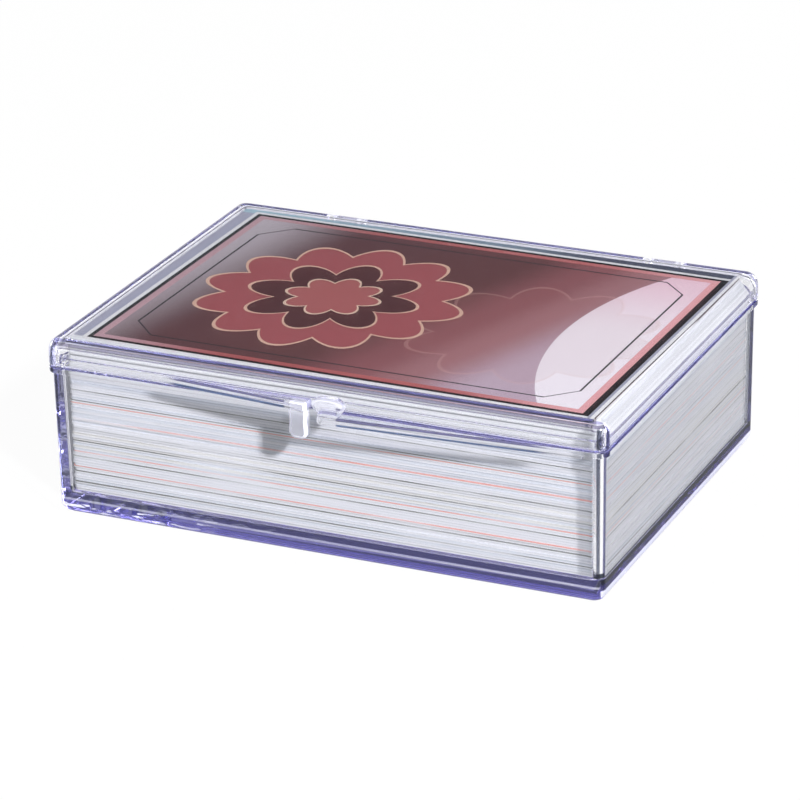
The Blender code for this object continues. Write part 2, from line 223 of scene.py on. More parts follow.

# Where the painted bands of the foot end, and its painted glints: each pair is a place and its softness
FOOT_TOP = (0.85, 0.01)
INNER_FLOOR = (0.5, 0.1)
GLINT_SCALES = (300.0, 300.0, 1500.0)
GLINT_STEP = (0.58, 0.06)
GLINT_END = (-22.0 * MM, 14.0 * MM)

# Shares of painted highlight, drawn with a white shader lit from both sides. A finger's pair is what its rim
# adds and what its face has.
LID_FINGER_SPAN = (-4.2 * MM, -0.6 * MM)
LID_CAP_SPAN = (-3.5 * MM, -0.6 * MM)
TRAY_FINGER_SPAN = (-0.3 * MM, 5.7 * MM)
TRAY_FINGER_FROM = TRAY_RIM + 0.1 * MM
HANGING_HIGHLIGHT = (0.6, 0.18)
STANDING_HIGHLIGHT = (0.2, 0.12)
FINGER_RIM_FROM = HALF_WIDTH + FINGER_CLEARANCE + FINGER_DEPTH - FINGER_EDGE
FINGER_RIM_SOFT = 0.2 * MM
BAND_WIDTH = 0.6 * MM
BAND_SOFT = 0.3 * MM
LOW_HIGHLIGHT_HEIGHTS = (0.3 * MM, 2.25 * MM)
GLINT_HIGHLIGHT = 0.75
END_HIGHLIGHT = 0.5
PALE_LINE_HIGHLIGHT = 0.2
PALE_LINE_SOFT = 0.03
FAR_EDGE_WIDTH = 1.0 * MM
FAR_EDGE_SOFT = 0.3 * MM
FAR_EDGE_HEIGHT = (LID_BOTTOM + 1.5 * MM, 1.0 * MM)
FAR_EDGE_HIGHLIGHT = 0.35

# Card board: colour, ink of the cut edge, the ink's span over the card's thickness, and its strength
BOARD_KINDS = {
    "white board": ((0.78, 0.79, 0.84), (0.45, 0.47, 0.52), 0.7, 1.2, 0.5),
    "cool board": ((0.70, 0.73, 0.80), (0.36, 0.39, 0.45), 0.7, 1.2, 0.6),
    "warm board": ((0.77, 0.77, 0.77), (0.42, 0.41, 0.38), 0.7, 1.2, 0.6),
    "grey inked board": ((0.74, 0.75, 0.79), (0.10, 0.11, 0.10), 0.55, 1.2, 0.9),
    # The board of the cards behind the lid's skirt: a little darker as painted shade, with fainter ink
    "plain board": ((0.75, 0.76, 0.80), (0.55, 0.57, 0.61), 0.7, 1.2, 0.3),
    "pink inked board": ((0.78, 0.77, 0.81), (0.74, 0.27, 0.22), 0.5, 1.2, 0.85),
}
COMMON_KINDS = {"white board": 6, "cool board": 4, "warm board": 2}
DRAW_SEED = 7
PINK_CARDS = (10, 16, 29, 35)
GREY_CARDS = (4, 8, 14, 20, 25, 36, 40)
SKIRT_CARDS = 45
FIBRE_SCALES, FIBRE_DETAIL, FIBRE_SHARE, FIBRE_TONE = (60.0, 60.0, 9000.0), 3.0, 0.5, 0.86
BLOTCH_SCALES, BLOTCH_STEP = (45.0, 45.0, 300.0), (0.42, 0.35)
INK_SOFT = 0.1
END_INK_LOSS = 0.55
BOARD_ROUGHNESS = 0.7
BOARD_SPECULAR = 0.25

# Card print: its place in metres, then sizes in mm across and along the turned print
PRINT_PLACE = (0.63 * MM, -0.5 * MM)
PRINT_TURN = math.radians(-0.64)
PRINT_LENGTH, PRINT_WIDTH = 84.7, 60.3
HALF_ACROSS, HALF_ALONG = PRINT_LENGTH / 2, PRINT_WIDTH / 2
PRINT_ROUGHNESS = 0.35
PRINT_SPECULAR = 0.08
CRISP = 0.12
FIELD = [(0.2, (0.114, 0.050, 0.055)), (0.5, (0.125, 0.050, 0.052)), (0.62, (0.27, 0.10, 0.11)),
         (0.7, (0.37, 0.175, 0.19)), (0.82, (0.56, 0.43, 0.52))]
FIELD_SLANT, FIELD_RATE, FIELD_MIDDLE = 0.35, 0.01, 0.5
# A pale wash over the field's left is a painted reflection
PAINTED_REFLECTION, REFLECTION_SLANT, REFLECTION_STEP = (0.52, 0.47, 0.51), 0.2, (-36.0, 20.0)
PANEL_X, PANEL_EDGE = 84.0, (58.0, 0.15)
PANEL = [(0.0, (1.0, 0.93, 1.0)), (0.5, (1.0, 0.92, 0.98)), (1.0, (0.92, 0.64, 0.74))]
TWIN = ((22.0, -3.0), 20.0, 10, 0.22)
TWIN_FILL, TWIN_FILL_SHARE, TWIN_FILL_SOFT = (0.45, 0.16, 0.16), 0.10, 0.3
TWIN_LINE, TWIN_LINE_SHARE, TWIN_LINE_BAND = (0.75, 0.45, 0.42), 0.22, (-0.2, 0.5, 0.2)
FLOWER_PLACE = (-14.0, 0.0)
FLOWER_LINE_FROM = -0.1
# Size, petals, depth of the petals, fill, line's outer edge, line
FLOWER_RINGS = (
    (22.0, 12, 0.20, (0.36, 0.095, 0.105), 0.55, (0.72, 0.47, 0.36)),
    (14.5, 8, 0.35, (0.085, 0.03, 0.033), 0.45, (0.72, 0.47, 0.36)),
    (8.0, 8, 0.30, (0.40, 0.12, 0.12), 0.4, (0.78, 0.58, 0.45)),
)
FRAME_CUT, FRAME_LINE, FRAME_INK = 9.0, (4.2, 4.55, 0.1), (0.03, 0.03, 0.035)
RIGHT_MARGIN_EXTRA = 0.4
MARGIN_EDGE = (2.0, 0.12)
MARGIN = [(0.0, (0.56, 0.36, 0.40)), (0.3, (0.42, 0.11, 0.11)), (0.7, (0.50, 0.14, 0.14)),
          (1.0, (0.86, 0.42, 0.44))]
BLACK_EDGE, BLACK_INK = (0.75, 0.1), (0.004, 0.004, 0.005)
PAPER_SOFT, PAPER = 0.1, (0.85, 0.85, 0.87)
OUTER_EDGE = (-0.75, 0.2)
OUTER_SOFT = 0.3
# The border's lilac is a painted shadow of the lid's rim, and its dark rear band is painted shade
RIM_SHADOW_LILAC = (0.42, 0.43, 0.54)
FRONT_PAPER = (0.88, 0.9, 0.95)
REAR_PAINTED_SHADE = [(0.0, (0.40, 0.58, 0.68)), (0.45, (0.22, 0.30, 0.38)), (0.75, (0.06, 0.07, 0.11)),
              (1.0, (0.06, 0.07, 0.11))]
RIGHT_SHADE_AND_PAPER = [(0.0, RIM_SHADOW_LILAC), (0.4, RIM_SHADOW_LILAC), (0.55, (0.95, 0.95, 0.97)), (1.0, (0.95, 0.95, 0.97))]
RIGHT_SOFT = 0.1
RIGHT_LINE, RIGHT_INK = (HALF_ACROSS + 1.1, HALF_ACROSS + 1.35, 0.08), (0.09, 0.055, 0.06)

# Floor: its colours as seen and as bounced or mirrored light, and how white it shows to each kind of ray
FLOOR_SIZE = 6.0
FLOOR_HEIGHT = -0.3 * MM
FLOOR_COLOUR = (0.9, 0.9, 0.9)
FLOOR_BOUNCE = (0.3, 0.3, 0.3)
FLOOR_WHITE = {"Is Camera Ray": 0.96, "Is Reflection Ray": 0.1, "Is Transmission Ray": 0.2}

# World: the room by height of the ray, the screen that the lid would mirror, and the light on the cards
WHITE = (1.0, 1.0, 1.0)
DOME = (0.1, 0.1, 0.1)
ROOM = [(0.0, (0.95, 0.95, 0.95)), (0.1, (0.8, 0.8, 0.84)), (0.35, (0.45, 0.46, 0.52)),
        (0.8, (0.5, 0.5, 0.55)), (1.0, (0.5, 0.5, 0.5))]
SCREEN_CONE = (0.955, 0.04)
SCREEN = (0.008, 0.008, 0.01)
DEEP_SCREEN = (0.45, 0.46, 0.5)
DEEP_FROM = (5.5, 1.0)
STRAIGHT_DEPTHS = ((2.5, 3.5, 0.2), (4.5, 5.5, 0.2))
STRAIGHT = (0.93, 0.93, 0.97)

# Lamps: azimuth and elevation in degrees, distance and size in metres, power in watts
LAMPS = {
    "key": (53.0, 34.0, 1.6, 0.12, 41.0),
    "fill": (-35.0, 42.0, 0.8, 0.4, 0.9),
    "back": (165.0, 8.0, 1.0, 0.25, 5.0),
    "side": (255.0, 8.0, 1.0, 0.25, 5.0),
}
MANY_BOUNCES = 96
TRANSMISSION_BOUNCES = 32


# Mesh tools

def link(name, data):
    item = bpy.data.objects.new(name, data)
    bpy.context.scene.collection.objects.link(item)
    return item


def from_bmesh(name, builder):
    bmesh.ops.recalc_face_normals(builder, faces=builder.faces)
    mesh = bpy.data.meshes.new(name)
    builder.to_mesh(mesh)
    builder.free()
    return link(name, mesh)


def loft(name, loops):
    """A closed skin through loops of equally many points, capped at both ends."""
    builder = bmesh.new()
    rows = [[builder.verts.new(point) for point in loop] for loop in loops]
    count = len(rows[0])
    for low, high in zip(rows, rows[1:]):
        for index in range(count):
            after = (index + 1) % count
            builder.faces.new((low[index], low[after], high[after], high[index]))
    builder.faces.new(list(reversed(rows[0])))
    builder.faces.new(rows[-1])
    return from_bmesh(name, builder)


def rounded_loop(half_x, half_y, radius, z):
    """Points around a rounded rectangle at height z."""
    points = []
    for corner, (side_x, side_y) in enumerate(((1, 1), (-1, 1), (-1, -1), (1, -1))):
        for step in range(CORNER_STEPS + 1):
            angle = math.pi / 2 * (corner + step / CORNER_STEPS)
            points.append((side_x * (half_x - radius) + radius * math.cos(angle),
                           side_y * (half_y - radius) + radius * math.sin(angle), z))
    return points


def blend_corner(before, corner, after, radius, steps):
    """A round arc in place of one corner of a polyline."""
    to_before = (before[0] - corner[0], before[1] - corner[1])
    to_after = (after[0] - corner[0], after[1] - corner[1])
    long_before, long_after = math.hypot(*to_before), math.hypot(*to_after)
    a = (to_before[0] / long_before, to_before[1] / long_before)
    b = (to_after[0] / long_after, to_after[1] / long_after)
    half = math.acos(max(-1.0, min(1.0, a[0] * b[0] + a[1] * b[1]))) / 2
    reach = min(radius / math.tan(half), LONGEST_BLEND * long_before, LONGEST_BLEND * long_after)
    size = reach * math.tan(half)
    middle = (a[0] + b[0], a[1] + b[1])
    scale = math.hypot(reach, size) / math.hypot(*middle)
    centre = (corner[0] + middle[0] * scale, corner[1] + middle[1] * scale)
    start = math.atan2(corner[1] + a[1] * reach - centre[1], corner[0] + a[0] * reach - centre[0])
    end = math.atan2(corner[1] + b[1] * reach - centre[1], corner[0] + b[0] * reach - centre[0])
    sweep = (end - start + math.pi) % (2 * math.pi) - math.pi
    return [(centre[0] + size * math.cos(start + sweep * step / steps),
             centre[1] + size * math.sin(start + sweep * step / steps)) for step in range(steps + 1)]


def round_profile(points):
    """An open polyline of (across, up, radius) with its inner corners rounded."""
    rounded = [points[0][:2]]
    for before, corner, after in zip(points, points[1:], points[2:]):
        rounded += blend_corner(before, corner, after, corner[2], FILLET_STEPS)
    return rounded + [points[-1][:2]]


def round_outline(points):
    """A closed polyline of (across, up, radius) with its corners rounded."""
    rounded = []
    for index, corner in enumerate(points):
        after = points[(index + 1) % len(points)]
        if corner[2]:
            rounded += blend_corner(points[index - 1], corner, after, corner[2], FILLET_STEPS)
        else:
            rounded.append(corner[:2])
    return rounded


def shell(name, profile):
    """A rounded rectangular moulding from its wall's profile of (inset, height, radius)."""
    loops = []
    for inset, z in round_profile(profile):
        radius = min(max(EDGE_RADIUS + CORNER_EASE - inset, CORNER_RADIUS), EDGE_RADIUS)
        loops.append(rounded_loop(HALF_LENGTH - inset, HALF_WIDTH - inset, radius, z))
    return loft(name, loops)


def drawn_in(points, inset):
    """A closed outline moved inwards by the inset along its own normals."""
    area = sum(a[0] * b[1] - b[0] * a[1] for a, b in zip(points, points[1:] + points[:1]))
    side = 1.0 if area > 0 else -1.0
    moved = []
    for index, point in enumerate(points):
        before, after = points[index - 1], points[(index + 1) % len(points)]
        first = (point[0] - before[0], point[1] - before[1])
        second = (after[0] - point[0], after[1] - point[1])
        long_first, long_second = math.hypot(*first), math.hypot(*second)
        normal = (-(first[1] / long_first + second[1] / long_second) * side,
                  (first[0] / long_first + second[0] / long_second) * side)
        size = math.hypot(*normal)
        lengthen = 2.0 / size
        moved.append((point[0] + normal[0] / size * inset * lengthen,
                      point[1] + normal[1] / size * inset * lengthen))
    return moved


def soft_plate(name, outline, depth, edge, place):
    """A flat piece of the given depth, centred on its plane, with both rims rounded over."""
    steps = FILLET_STEPS
    levels = [(edge * (1 - math.sin(math.pi / 2 * step / steps)),
               -depth / 2 + edge * (1 - math.cos(math.pi / 2 * step / steps))) for step in range(steps + 1)]
    levels += [(inset, -height) for inset, height in reversed(levels)]
    loops = []
    for inset, height in levels:
        loops.append([place @ Matrix.Translation((across, up, height)).translation
                      for across, up in drawn_in(outline, inset)])
    return loft(name, loops)


# A front view is tipped up about X, and a side view looks along X.
FRONT_VIEW = Matrix.Rotation(math.pi / 2, 4, "X")
SIDE_VIEW = Matrix.Rotation(math.pi / 2, 4, "Z") @ FRONT_VIEW


def round_bar(name, radius, x_low, x_high, edge):
    """A cylinder along the hinge axis with softened ends."""
    turns = [2 * math.pi * step / BAR_STEPS for step in range(BAR_STEPS)]
    circle = [(radius * math.cos(turn), radius * math.sin(turn)) for turn in turns]
    place = Matrix.Translation(((x_low + x_high) / 2, AXIS_Y, AXIS_Z)) @ SIDE_VIEW
    return soft_plate(name, circle, x_high - x_low, edge, place)


def join(target, tool, operation):
    """Adds the tool to the target or cuts it out, and removes the tool."""
    boolean = target.modifiers.new(tool.name, "BOOLEAN")
    boolean.operation = operation
    boolean.object = tool
    boolean.solver = "MANIFOLD"
    bpy.context.view_layer.update()
    made = bpy.data.meshes.new_from_object(target.evaluated_get(bpy.context.evaluated_depsgraph_get()))
    target.modifiers.clear()
    target.data = made
    bpy.data.objects.remove(tool)


def smooth(item):
    """Merges doubled points and shades the item smooth up to its sharp edges."""
    builder = bmesh.new()
    builder.from_mesh(item.data)
    bmesh.ops.remove_doubles(builder, verts=builder.verts, dist=MERGE_DISTANCE)
    bmesh.ops.recalc_face_normals(builder, faces=builder.faces)
    builder.to_mesh(item.data)
    builder.free()
    item.data.shade_smooth()
    item.data.set_sharp_from_angle(angle=SHARP_ANGLE)
    weighted = item.modifiers.new("face weighted normals", "WEIGHTED_NORMAL")
    weighted.keep_sharp = True
    weighted.weight = FLAT_WEIGHT


# Shells

def lip(name, inner_end, outer_end, low, high):
    """Half a thumb lip, deepest at its inner end and running out along the front wall."""
    root = -(HALF_WIDTH - SINK)
    outline = round_outline([(inner_end, root, 0.0), (inner_end, -LIP_FRONT, LIP_CORNER),
                             (outer_end, -HALF_WIDTH, LIP_TIP), (outer_end, root, 0.0)])
    return soft_plate(name, outline, high - low, LIP_EDGE, Matrix.Translation((0.0, 0.0, (low + high) / 2)))


def finger(name, outline):
    middle = -(HALF_WIDTH + FINGER_CLEARANCE + FINGER_DEPTH / 2)
    place = Matrix.Translation((0.0, middle, 0.0)) @ FRONT_VIEW
    return soft_plate(name, outline, FINGER_DEPTH, FINGER_EDGE, place)


def lid_finger():
    """The hanging finger: a waisted tongue with round corners."""
    x, half, narrow = LID_FINGER_X, LID_FINGER_HALF, LID_WAIST_HALF
    top = LID_BOTTOM + LID_FINGER_RISE
    low = FINGER_LOW - LID_FINGER_DROP
    waist = top - LID_WAIST_DOWN
    outline = [(x + half, top, LID_FINGER_TOP_ROUND), (x + narrow, waist, LID_FINGER_ROUND),
               (x + half, low, LID_FINGER_ROUND), (x - half, low, LID_FINGER_ROUND),
               (x - narrow, waist, LID_FINGER_ROUND), (x - half, top, LID_FINGER_TOP_ROUND)]
    return finger("lid_finger", round_outline(outline))


def tray_finger():
    """The upright finger: a neck on the tray's lip under a wider round head."""
    neck_top = TRAY_RIM + NECK_RISE
    middle = (neck_top + HEAD_TOP) / 2
    right = [(NECK_HALF, TRAY_RIM - NECK_SINK, 0.0), (NECK_HALF, neck_top, NECK_ROUND),
             (HEAD_HALF, middle, HEAD_ROUND), (CROWN_HALF, HEAD_TOP, CROWN_ROUND)]
    outline = right + [(-across, up, radius) for across, up, radius in reversed(right)]
    placed = [(TRAY_FINGER_X + across, up, radius) for across, up, radius in outline]
    return finger("tray_finger", round_outline(placed))


def beside(x):
    """The place of a piece drawn in side view, centred at x."""
    return Matrix.Translation((x, 0.0, 0.0)) @ SIDE_VIEW


def tray_ear(name, x):
    """A hinge ear: a round head about the axis on a tapered root."""
    root = HALF_WIDTH - OVERSAIL - SINK
    foot = (root, AXIS_Z - EAR_FOOT_DOWN)
    reach = math.hypot(AXIS_Y - foot[0], AXIS_Z - foot[1])
    towards_axis = math.atan2(AXIS_Z - foot[1], AXIS_Y - foot[0])
    start = towards_axis - math.asin(EAR_RADIUS / reach) - math.pi / 2
    turns = [start + (math.pi - start) * step / EAR_STEPS for step in range(EAR_STEPS + 1)]
    head = [(AXIS_Y + EAR_RADIUS * math.cos(turn), AXIS_Z + EAR_RADIUS * math.sin(turn)) for turn in turns]
    outline = [foot] + head + [(root, TRAY_RIM - PARTING_GAP)]
    return soft_plate(name, outline, EAR_THICKNESS, SMALL_EDGE, beside(x))


def lid_strap(name, x):
    root = HALF_WIDTH - SINK
    outline = [(root, STRAP_LOW), (AXIS_Y, STRAP_LOW), (AXIS_Y, AXIS_Z + KNUCKLE_RADIUS), (root, STRAP_HIGH)]
    return soft_plate(name, outline, KNUCKLE_WIDTH, SMALL_EDGE, beside(x))


def slot_block(name, x):
    """The cut through the lid's skirt that an ear stands in."""
    inner, outer = HALF_WIDTH - 2 * LID_WALL, HALF_WIDTH + LID_WALL
    low, top = LID_BOTTOM - LID_WALL, AXIS_Z + EAR_RADIUS + SLOT_HEADROOM
    outline = [(inner, low), (outer, low), (outer, top), (inner, top)]
    return soft_plate(name, outline, EAR_THICKNESS + 2 * SLOT_CLEARANCE, CUT_EDGE, beside(x))


def hinge_places():
    for middle in HINGE_XS:
        for side in (-1, 1):
            yield middle + side * EAR_OFFSET


def build_tray():
    """The tray: floor, walls, bead and tongue in one skin, with its lip, finger and hinge ears."""
    foot = OVERSAIL + TONGUE_TOP * DRAFT
    bead_low = TRAY_RIM - BEAD_HEIGHT
    under_bead = OVERSAIL + (TONGUE_TOP - TRAY_RIM + BEAD_HEIGHT) * DRAFT
    inner_top = OVERSAIL + TRAY_WALL
    inner_foot = inner_top + (TONGUE_TOP - TRAY_FLOOR) * DRAFT
    tray = shell("tray_shell", [
        (PLATE_REACH, 0.0, 0.0), (foot, 0.0, EDGE_RADIUS), (under_bead, bead_low, SMALL_EDGE),
        (0.0, bead_low, BEAD_EDGE), (0.0, TRAY_RIM, BEAD_EDGE), (TONGUE_INSET, TRAY_RIM, TONGUE_ROOT),
        (TONGUE_INSET, TONGUE_TOP, SMALL_EDGE), (inner_top, TONGUE_TOP, SMALL_EDGE),
        (inner_foot, TRAY_FLOOR, INNER_RADIUS), (PLATE_REACH, TRAY_FLOOR, 0.0)])
    top = TRAY_RIM - FACE_STEP
    join(tray, lip("tray_lip", LIP_END, TRAY_LIP_SPAN, top - LIP_THICKNESS, top), "UNION")
    join(tray, tray_finger(), "UNION")
    hole = PIN_RADIUS + PIN_CLEARANCE
    for x in hinge_places():
        join(tray, tray_ear("ear", x), "UNION")
        join(tray, round_bar("pin_hole", hole, x - EAR_THICKNESS, x + EAR_THICKNESS, CUT_EDGE), "DIFFERENCE")
    smooth(tray)
    return tray


def build_lid():
    """The lid: plate and skirt in one skin, with the ears' slots, the hinge knuckles, its lip and finger."""
    inner_top = LID_WALL + (SKIRT_HEIGHT - LID_WALL) * DRAFT
    lid = shell("lid_shell", [
        (PLATE_REACH, HEIGHT - LID_WALL, 0.0), (inner_top, HEIGHT - LID_WALL, LID_FILLET),
        (LID_WALL, LID_BOTTOM, SMALL_EDGE), (0.0, LID_BOTTOM, BEAD_EDGE),
        (SKIRT_HEIGHT * DRAFT, HEIGHT, EDGE_RADIUS), (PLATE_REACH, HEIGHT, 0.0)])
    for x in hinge_places():
        join(lid, slot_block("slot", x), "DIFFERENCE")
    half = KNUCKLE_WIDTH / 2
    for x in HINGE_XS:
        join(lid, lid_strap("strap", x), "UNION")
        join(lid, round_bar("knuckle", KNUCKLE_RADIUS, x - half, x + half, SMALL_EDGE), "UNION")
        reach = half + PIN_REACH
        join(lid, round_bar("pin", PIN_RADIUS, x - reach, x + reach, SMALL_EDGE), "UNION")
    bottom, top = LID_BOTTOM + FACE_STEP, LID_BOTTOM + LIP_THICKNESS
    join(lid, lip("lid_lip", -LIP_END, -LID_LIP_SPAN, bottom, top), "UNION")
    join(lid, lid_finger(), "UNION")
    smooth(lid)
    return lid


# Materials

class Formula:
    """Shader maths written as plain calls, each of which gives the socket that holds its result."""

    def __init__(self, tree):
        self.nodes, self.links = tree.nodes, tree.links

    def feed(self, socket, value):
        if isinstance(value, bpy.types.NodeSocket):
            self.links.new(value, socket)
        else:
            socket.default_value = value

    def do(self, operation, *values):
        node = self.nodes.new("ShaderNodeMath")
        node.operation = operation
        for socket, value in zip(node.inputs, values):
            self.feed(socket, value)
        return node.outputs[0]

    def product(self, first, *others):
        for other in others:
            first = self.do("MULTIPLY", first, other)
        return first

    def inverse(self, share):
        return self.do("SUBTRACT", 1.0, share)

    def away(self, across, along):
        """The distance of a point from the origin of two coordinates."""
        return self.do("SQRT", self.do("ADD", self.product(across, across), self.product(along, along)))

    def ramp(self, value, stops):
        """A smooth colour ramp through stops of (place, colour)."""
        node = self.nodes.new("ShaderNodeValToRGB")
        node.color_ramp.interpolation = "EASE"
        elements = node.color_ramp.elements
        while len(elements) < len(stops):
            elements.new(1.0)
        for element, (place, colour) in zip(elements, stops):
            element.position = place
            element.color = (*colour, 1.0)
        self.feed(node.inputs[0], value)
        return node.outputs[0]

    def mix(self, share, first, second):
        node = self.nodes.new("ShaderNodeMix")
        node.data_type = "RGBA"
        self.feed(node.inputs["Factor"], share)
        for socket, colour in ((node.inputs[6], first), (node.inputs[7], second)):
            self.feed(socket, colour if isinstance(colour, bpy.types.NodeSocket) else (*colour, 1.0))
        return node.outputs[2]

    def step(self, value, place, soft):
        """1 where the value lies above the place, with a soft edge of the given width."""
        node = self.nodes.new("ShaderNodeMapRange")
        node.interpolation_type = "SMOOTHSTEP"
        self.feed(node.inputs["Value"], value)
        node.inputs["From Min"].default_value = place - soft / 2
        node.inputs["From Max"].default_value = place + soft / 2
        return node.outputs["Result"]

    def before(self, value, place, soft):
        """1 where the value lies below the place, with a soft edge of the given width."""
        return self.inverse(self.step(value, place, soft))

    def between(self, value, low, high, soft):
        """1 where the value lies between low and high, with soft edges of the given width."""
        return self.do("SUBTRACT", self.step(value, low, soft), self.step(value, high, soft))

    def coordinates(self, kind):
        place = self.nodes.new("ShaderNodeTexCoord").outputs[kind]
        split = self.nodes.new("ShaderNodeSeparateXYZ")
        self.links.new(place, split.inputs[0])
        return split.outputs

    def noise(self, scales, detail=2.0):
        """Noise stretched by its own scale along each axis."""
        place = self.nodes.new("ShaderNodeTexCoord").outputs["Object"]
        stretch = self.nodes.new("ShaderNodeMapping")
        stretch.inputs["Scale"].default_value = scales
        texture = self.nodes.new("ShaderNodeTexNoise")
        texture.inputs["Scale"].default_value = 1.0
        texture.inputs["Detail"].default_value = detail
        self.links.new(place, stretch.inputs["Vector"])
        self.links.new(stretch.outputs[0], texture.inputs["Vector"])
        return texture.outputs["Fac"]

    def shader(self, kind, colour):
        """A shader node of one colour."""
        node = self.nodes.new(kind)
        self.feed(node.inputs["Color"], colour)
        return node.outputs[0]

    def mix_shaders(self, share, first, second):
        node = self.nodes.new("ShaderNodeMixShader")
        for socket, source in zip(node.inputs, (share, first, second)):
            self.links.new(source, socket)
        return node.outputs[0]


def new_material(name):
    """A new material, the formula that adds to its nodes, and its main shader."""
    material = bpy.data.materials.new(name)
    material.use_nodes = True
    f = Formula(material.node_tree)
    return material, f, f.nodes["Principled BSDF"]


class PlasticPlaces:
    """Where a point lies on the shells and which way its face looks, mostly as shares from 0 to 1."""

    def __init__(self, f):
        self.x, self.y, self.z = f.coordinates("Object")
        self.normal_x, self.normal_y, self.normal_z = f.coordinates("Normal")
        self.turned = f.do("ABSOLUTE", self.normal_x)
        self.forward = f.product(self.normal_y, -1.0)
        self.flat = f.step(f.do("ABSOLUTE", self.normal_z), *FLAT_FACE)
        self.end_face = f.step(self.turned, *END_FACE)
        self.front_face = f.step(self.forward, *FRONT_FACE)
        self.right = f.step(self.x, 0.0, SHADE_EDGE)
        self.ahead = f.before(self.y, -(HALF_WIDTH + SHADE_EDGE), SHADE_EDGE)
        at_end = f.step(f.do("ABSOLUTE", self.x), HALF_LENGTH - EDGE_RADIUS, SHADE_EDGE)
        at_side = f.step(f.do("ABSOLUTE", self.y), HALF_WIDTH - EDGE_RADIUS, SHADE_EDGE)
        self.corner = f.product(at_end, at_side)
        in_tray = f.between(self.z, TRAY_FLOOR, TRAY_RIM - BEAD_HEIGHT, SHADE_EDGE)
        self.tray_end = f.product(self.end_face, in_tray, f.inverse(self.corner))
        self.up_foot = f.do("DIVIDE", self.z, FOOT_SPAN)
        # Spots of painted glint low on the front's left
        self.glints = f.product(f.step(f.noise(GLINT_SCALES), *GLINT_STEP), f.before(self.x, *GLINT_END))


def painted_post_shade(f, at, colour):
    """Painted shade: slate and violet bands up the four corner posts."""
    post = f.product(at.corner, f.inverse(at.flat))
    colour = f.mix(f.product(post, f.between(at.turned, *POST_SLATE_BAND)), colour, POST_SLATE)
    return f.mix(f.product(post, f.between(at.turned, *POST_VIOLET_BAND)), colour, POST_VIOLET)


def painted_end_shade(f, at, colour):
    """Painted shade: slate at the rear of the right end wall and on the inside of the left one."""
    rear_right = f.product(at.right, f.step(at.y, REAR_FROM, SHADE_EDGE))
    colour = f.mix(f.product(at.tray_end, rear_right), colour, REAR_SLATE)
    left_inner = f.product(f.step(at.normal_x, *END_FACE), f.inverse(at.right))
    return f.mix(f.product(at.tray_end, left_inner), colour, LEFT_SLATE)


def painted_level_shade(f, at, colour):
    """Painted shade: a violet band on level faces from the tray's floor to the tongue's top, away from the
    front wall, darkening the parting line.
    """
    inside = f.between(at.z, TRAY_FLOOR - SHADE_EDGE, TONGUE_TOP + SHADE_EDGE, SHADE_EDGE)
    behind_front = f.step(at.y, LEVEL_FACE_SHADE_FROM, LEVEL_FACE_SHADE_FADE)
    return f.mix(f.product(at.flat, inside, behind_front), colour, LEVEL_FACE_SHADE)


def painted_lip_lines(f, at, colour):
    """Painted shade: a blue line low and a violet line high along the front of each lip."""
    unlined = f.between(at.x, FINGER_SPAN[0], LIP_LINE_FROM, SHADE_EDGE)
    lip_face = f.product(at.ahead, f.inverse(unlined))
    low = f.do("ADD", *[f.between(at.z, *line, LINE_SOFT) for line in LOW_LINES])
    high = f.do("ADD", *[f.between(at.z, *line, LINE_SOFT) for line in HIGH_LINES])
    colour = f.mix(f.product(lip_face, low, f.inverse(at.flat)), colour, LIP_LOW_SHADE)
    return f.mix(f.product(lip_face, high, f.step(at.forward, *LIP_FACE)), colour, LIP_HIGH_SHADE)


def painted_lid_bands(f, at, colour):
    """Painted shade: a lilac and a grey band along the lid's front fillet."""
    on_lid = f.step(at.z, LID_BOTTOM + SKIRT_HEIGHT / 2, SHADE_EDGE)
    lid_front = f.product(on_lid, f.before(at.y, EDGE_RADIUS - HALF_WIDTH - SHADE_EDGE, SHADE_EDGE))
    colour = f.mix(f.product(lid_front, f.between(at.normal_z, *LID_LILAC_BAND)), colour, LID_LILAC)
    return f.mix(f.product(lid_front, f.between(at.normal_z, *LID_GREY_BAND)), colour, LID_GREY)


def painted_foot_bands(f, at, colour):
    """Painted shade and highlight bands up the foot, other ones on the ends, left clear at the painted glints
    on the front's left.
    """
    front_foot = f.mix(at.glints, f.ramp(at.up_foot, FRONT_FOOT), CLEAR_TINT)
    foot = f.mix(at.end_face, front_foot, f.ramp(at.up_foot, END_FOOT))
    not_rear = f.before(at.normal_y, *REAR_FACE)
    inner_floor = f.product(at.flat, f.step(at.up_foot, *INNER_FLOOR))
    on_foot = f.product(not_rear, f.before(at.up_foot, *FOOT_TOP), f.inverse(inner_floor))
    return f.mix(on_foot, colour, foot)


def passed_light(f, at):
    """The colour of the lamp light that a surface lets straight through."""
    lip_flat = f.mix(at.right, LID_LIP_SHADE, TRAY_LIP_SHADE)
    held_back = f.mix(at.flat, LIP_SHADE, lip_flat)
    on_fingers = f.product(at.ahead, f.between(at.x, *FINGER_SPAN, SHADE_EDGE))
    held_back = f.mix(f.product(on_fingers, f.step(at.normal_x, *FINGER_SIDE)), held_back, PASSED)
    passed = f.mix(at.ahead, PASSED, held_back)
    passed = f.mix(f.product(at.tray_end, at.right), passed, END_SHADE)
    return f.mix(at.corner, passed, POST_SHADE)


